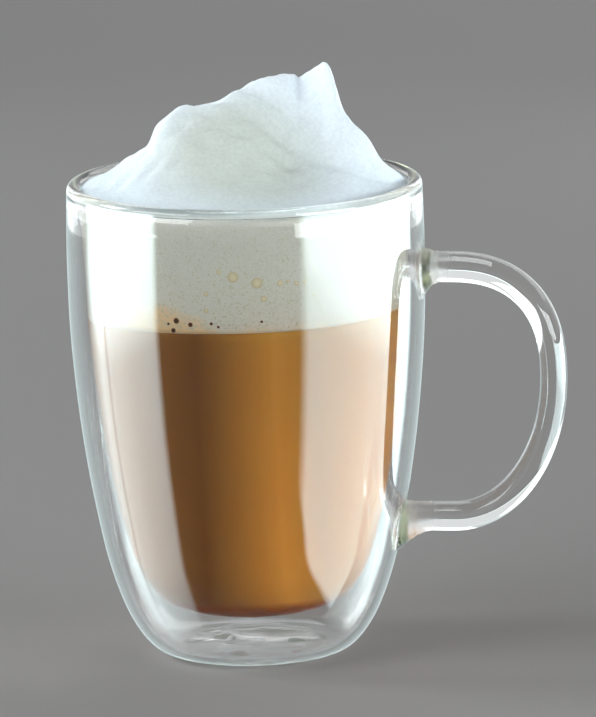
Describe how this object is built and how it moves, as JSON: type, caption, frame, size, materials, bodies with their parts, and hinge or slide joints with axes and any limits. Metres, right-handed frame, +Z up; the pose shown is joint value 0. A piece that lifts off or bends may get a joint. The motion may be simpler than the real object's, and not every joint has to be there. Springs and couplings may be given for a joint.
{
  "type": "latte in a double-walled glass mug",
  "caption": "Hot latte in a tall double-walled clear glass mug with a looped glass handle, milky coffee below a deep layer of milk foam that heaps above the lip in a leaning peak.",
  "frame": {"origin": "on the mug's axis, in the plane of its flat foot", "axes": "+Z up along the mug's axis, +X towards the handle, so that the heap of foam is the highest point and the mug is narrowest along Y"},
  "size_m": [0.1265, 0.0906, 0.1503],
  "materials": {
    "clear_glass": "clear, thick, polished borosilicate glass",
    "seal_glass": "clear glass, slightly rough where it was fused",
    "milky_coffee": "opaque caramel brown liquid, darker red brown in its lowest few millimetres",
    "milk_foam": "white steamed milk foam, smooth on top, fine bubbles where it meets the glass"
  },
  "bodies": {
    "root": {"glass_mug": "clear_glass", "base_seal": "seal_glass", "milky_coffee": "milky_coffee", "milk_foam": "milk_foam"}
  },
  "joints": []
}
